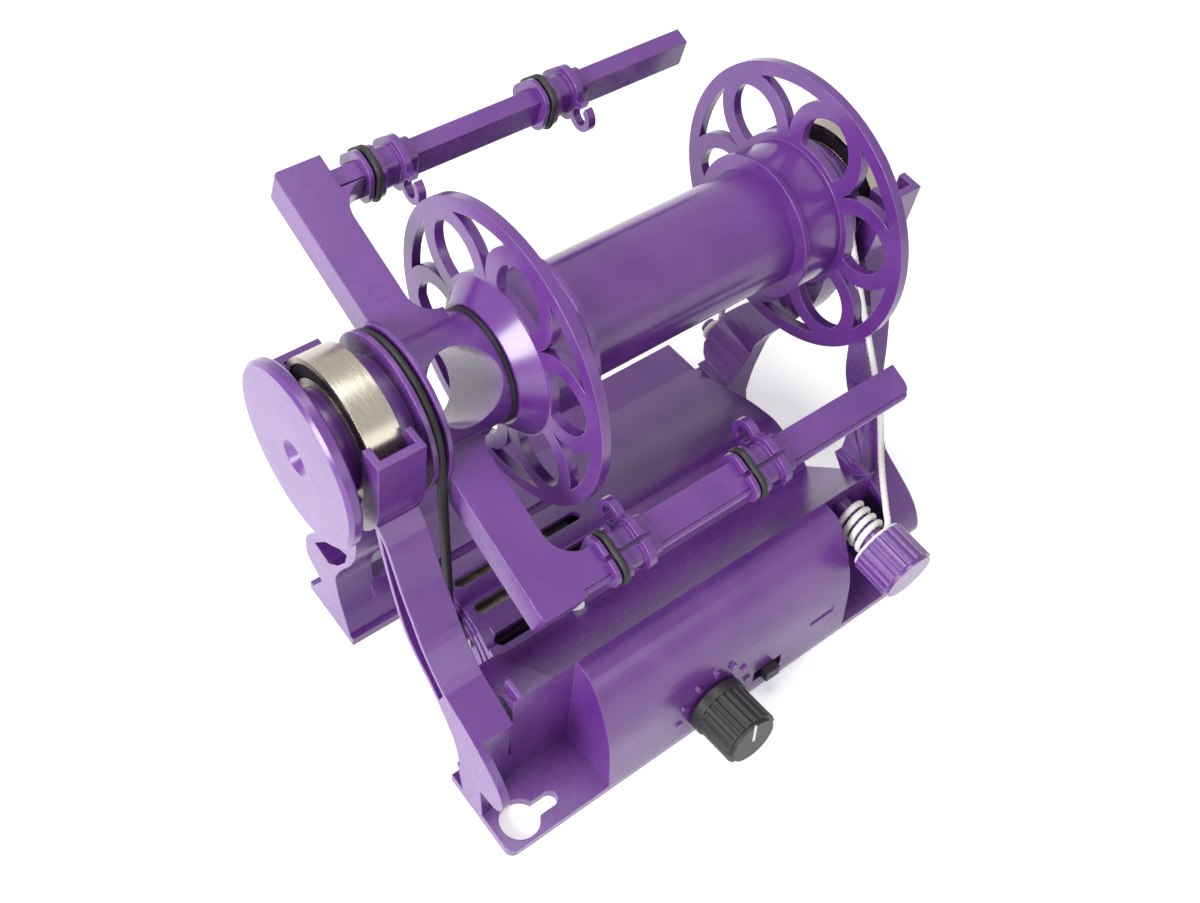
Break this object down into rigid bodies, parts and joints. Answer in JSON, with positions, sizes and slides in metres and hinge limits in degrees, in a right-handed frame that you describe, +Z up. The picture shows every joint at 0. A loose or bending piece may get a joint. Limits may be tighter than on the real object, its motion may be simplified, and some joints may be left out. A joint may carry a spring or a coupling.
{
  "type": "electric yarn spinner",
  "caption": "Small motor-driven yarn spinner: a flyer with sliding guides and a bobbin run between two cradles on a moulded frame with a belt drive and cord brake.",
  "frame": {"origin": "on the table under the spindle, half way along the base", "axes": "+X along the spindle away from the orifice, -Y towards the control panel, +Z up"},
  "size_m": [0.1374, 0.1237, 0.0964],
  "materials": {
    "violet_plastic": "satin moulded violet plastic",
    "steel": "ground and polished steel",
    "black_plastic": "black moulded plastic",
    "black_rubber": "black rubber",
    "cord": "off-white twisted cord",
    "white_plastic": "white plastic",
    "board": "green solder mask"
  },
  "bodies": {
    "frame": {"base_plate": "violet_plastic", "base_screws": "steel", "housing": "violet_plastic", "left_upright": "violet_plastic", "right_upright": "violet_plastic", "motor_can": "steel", "motor_cap": "black_plastic", "motor_screws": "steel", "drive_band": "black_rubber", "circuit_board": "board", "potentiometer": "steel", "switch_body": "steel", "power_jack": "black_plastic", "jack_pin": "steel", "status_light": "white_plastic", "left_outer_ring": "steel", "left_balls": "steel", "left_seals": "black_rubber", "right_outer_ring": "steel", "right_balls": "steel", "right_seals": "black_rubber", "brake_cord": "cord", "brake_winding": "cord", "cord_knot": "cord"},
    "flyer": {"flyer": "violet_plastic", "orifice_disc": "violet_plastic", "flyer_shaft": "steel", "thrust_washer": "black_rubber", "end_plug": "violet_plastic", "left_inner_ring": "steel", "right_inner_ring": "steel"},
    "bobbin": {"bobbin_left_end": "violet_plastic", "bobbin_core": "violet_plastic", "bobbin_right_end": "violet_plastic"},
    "motor_rotor": {"motor_shaft": "steel", "motor_pulley": "black_plastic"},
    "speed_control": {"speed_knob": "black_plastic", "knob_pointer": "white_plastic", "knob_shaft": "steel"},
    "switch_lever": {"switch_slider": "black_plastic"},
    "tension_control": {"tension_peg": "violet_plastic", "tension_knob": "violet_plastic", "tension_washer": "white_plastic"},
    "guide_lower_inner": {"guide_a": "violet_plastic", "guide_ring_a": "black_rubber"},
    "guide_lower_outer": {"guide_b": "violet_plastic", "guide_ring_b": "black_rubber"},
    "guide_upper_inner": {"guide_c": "violet_plastic", "guide_ring_c": "black_rubber"},
    "guide_upper_outer": {"guide_d": "violet_plastic", "guide_ring_d": "black_rubber"}
  },
  "joints": [
    {"name": "flyer_spin", "type": "hinge", "parent": "frame", "child": "flyer", "pos_m": [0, 0, 0.06445], "axis": [1, 0, 0], "continuous": true},
    {"name": "bobbin_spin", "type": "hinge", "parent": "flyer", "child": "bobbin", "pos_m": [0, 0, 0.06445], "axis": [1, 0, 0], "continuous": true},
    {"name": "motor_spin", "type": "hinge", "parent": "frame", "child": "motor_rotor", "pos_m": [-0.04195, -0.01781, 0.0084], "axis": [1, 0, 0], "continuous": true},
    {"name": "speed_knob_turn", "type": "hinge", "parent": "frame", "child": "speed_control", "pos_m": [-0.00475, -0.06352, 0.008], "axis": [0, -0.9863, 0.165], "range_deg": [-150, 150]},
    {"name": "switch_slide", "type": "slide", "parent": "frame", "child": "switch_lever", "axis": [1, 0, 0], "range_m": [-0.002, 0.002]},
    {"name": "tension_turn", "type": "hinge", "parent": "frame", "child": "tension_control", "pos_m": [0.04075, -0.055, 0.0245], "axis": [0, -1, 0], "continuous": true},
    {"name": "guide_lower_inner_slide", "type": "slide", "parent": "flyer", "child": "guide_lower_inner", "axis": [1, 0, 0], "range_m": [-0.0005, 0.0112]},
    {"name": "guide_lower_outer_slide", "type": "slide", "parent": "flyer", "child": "guide_lower_outer", "axis": [1, 0, 0], "range_m": [-0.0112, 0.034]},
    {"name": "guide_upper_inner_slide", "type": "slide", "parent": "flyer", "child": "guide_upper_inner", "axis": [1, 0, 0], "range_m": [-0.0003, 0.0146]},
    {"name": "guide_upper_outer_slide", "type": "slide", "parent": "flyer", "child": "guide_upper_outer", "axis": [1, 0, 0], "range_m": [-0.0146, 0.0278]}
  ],
  "couplings": [
    {"joint": "motor_spin", "follows": "flyer_spin", "ratio": 3.675}
  ]
}
